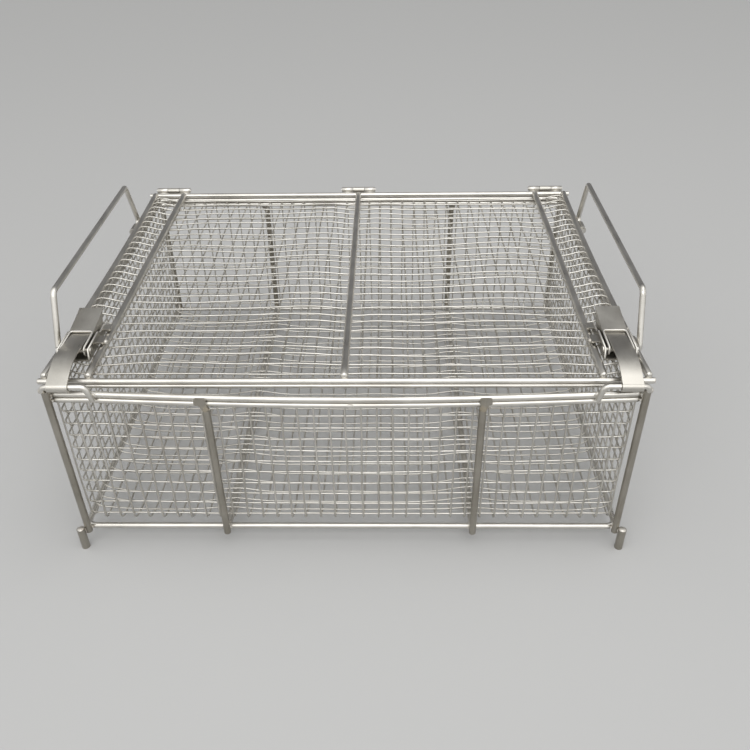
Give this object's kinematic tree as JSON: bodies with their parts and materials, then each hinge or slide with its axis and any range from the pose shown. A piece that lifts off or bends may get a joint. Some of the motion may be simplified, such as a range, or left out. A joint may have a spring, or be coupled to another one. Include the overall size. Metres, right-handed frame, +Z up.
{
  "type": "autoclave basket",
  "caption": "Rectangular wire-mesh autoclave basket with hinged mesh lid, draw latches at the front corners and drop handles at both ends.",
  "frame": {"origin": "centre of the footprint on the plane of the feet", "axes": "+X to the right along the long side, +Y to the hinged rear, +Z up"},
  "size_m": [0.3126, 0.2504, 0.1364],
  "materials": {
    "rod": "drawn stainless rod, slightly dulled",
    "wire_cloth": "welded stainless wire",
    "sheet": "pressed stainless sheet"
  },
  "bodies": {
    "basket": {"basket_mesh": "wire_cloth", "bottom_rod": "rod", "corner_post_front_left": "rod", "corner_post_front_right": "rod", "corner_post_rear_left": "rod", "corner_post_rear_right": "rod", "floor_runner_left": "rod", "floor_runner_right": "rod", "foot_front_left": "rod", "foot_front_right": "rod", "foot_rear_left": "rod", "foot_rear_right": "rod", "handle_clip_front_left": "sheet", "handle_clip_front_right": "sheet", "handle_clip_rear_left": "sheet", "handle_clip_rear_right": "sheet", "hinge_pin_left": "rod", "hinge_pin_middle": "rod", "hinge_pin_right": "rod", "hinge_rim_leaf_left": "sheet", "hinge_rim_leaf_middle": "sheet", "hinge_rim_leaf_right": "sheet", "latch_keeper_left": "rod", "latch_keeper_right": "rod", "rib_post_front_left": "rod", "rib_post_front_right": "rod", "rib_post_rear_left": "rod", "rib_post_rear_right": "rod", "rim_lower_rod": "rod", "rim_upper_rod": "rod"},
    "lid": {"hinge_lid_leaf_left": "sheet", "hinge_lid_leaf_middle": "sheet", "hinge_lid_leaf_right": "sheet", "latch_base_left": "sheet", "latch_base_right": "sheet", "latch_pivot_pin_left": "rod", "latch_pivot_pin_right": "rod", "lid_centre_rod": "rod", "lid_front_rod": "rod", "lid_inner_rod_left": "rod", "lid_inner_rod_right": "rod", "lid_mesh": "wire_cloth", "lid_outer_rod_left": "rod", "lid_outer_rod_right": "rod", "lid_rear_rod": "rod", "lid_under_rod": "rod"},
    "latch_lever_left": {"latch_lever_left": "sheet", "strap_pin_left": "rod"},
    "latch_strap_left": {"latch_strap_left": "sheet"},
    "handle_left": {"handle_left": "rod"},
    "latch_lever_right": {"latch_lever_right": "sheet", "strap_pin_right": "rod"},
    "latch_strap_right": {"latch_strap_right": "sheet"},
    "handle_right": {"handle_right": "rod"}
  },
  "joints": [
    {"name": "lid_hinge", "type": "hinge", "parent": "basket", "child": "lid", "pos_m": [0, 0.122, 0.11], "axis": [-1, 0, 0], "range_deg": [0, 200]},
    {"name": "latch_lever_left_hinge", "type": "hinge", "parent": "lid", "child": "latch_lever_left", "pos_m": [-0.1392, -0.0937, 0.114], "axis": [1, 0, 0], "range_deg": [0, 85]},
    {"name": "latch_strap_left_hinge", "type": "hinge", "parent": "latch_lever_left", "child": "latch_strap_left", "pos_m": [-0.1392, -0.082, 0.1142], "axis": [1, 0, 0], "range_deg": [-60.35, 0]},
    {"name": "handle_left_hinge", "type": "hinge", "parent": "basket", "child": "handle_left", "pos_m": [-0.1535, 0, 0.1025], "axis": [0, -1, 0], "range_deg": [0, 180]},
    {"name": "latch_lever_right_hinge", "type": "hinge", "parent": "lid", "child": "latch_lever_right", "pos_m": [0.1392, -0.0937, 0.114], "axis": [1, 0, 0], "range_deg": [0, 85]},
    {"name": "latch_strap_right_hinge", "type": "hinge", "parent": "latch_lever_right", "child": "latch_strap_right", "pos_m": [0.1392, -0.082, 0.1142], "axis": [1, 0, 0], "range_deg": [-60.35, 0]},
    {"name": "handle_right_hinge", "type": "hinge", "parent": "basket", "child": "handle_right", "pos_m": [0.1535, 0, 0.1025], "axis": [0, 1, 0], "range_deg": [0, 180]}
  ],
  "couplings": [
    {"joint": "latch_strap_left_hinge", "follows": "latch_lever_left_hinge", "ratio": -0.71},
    {"joint": "latch_strap_right_hinge", "follows": "latch_lever_right_hinge", "ratio": -0.71}
  ]
}
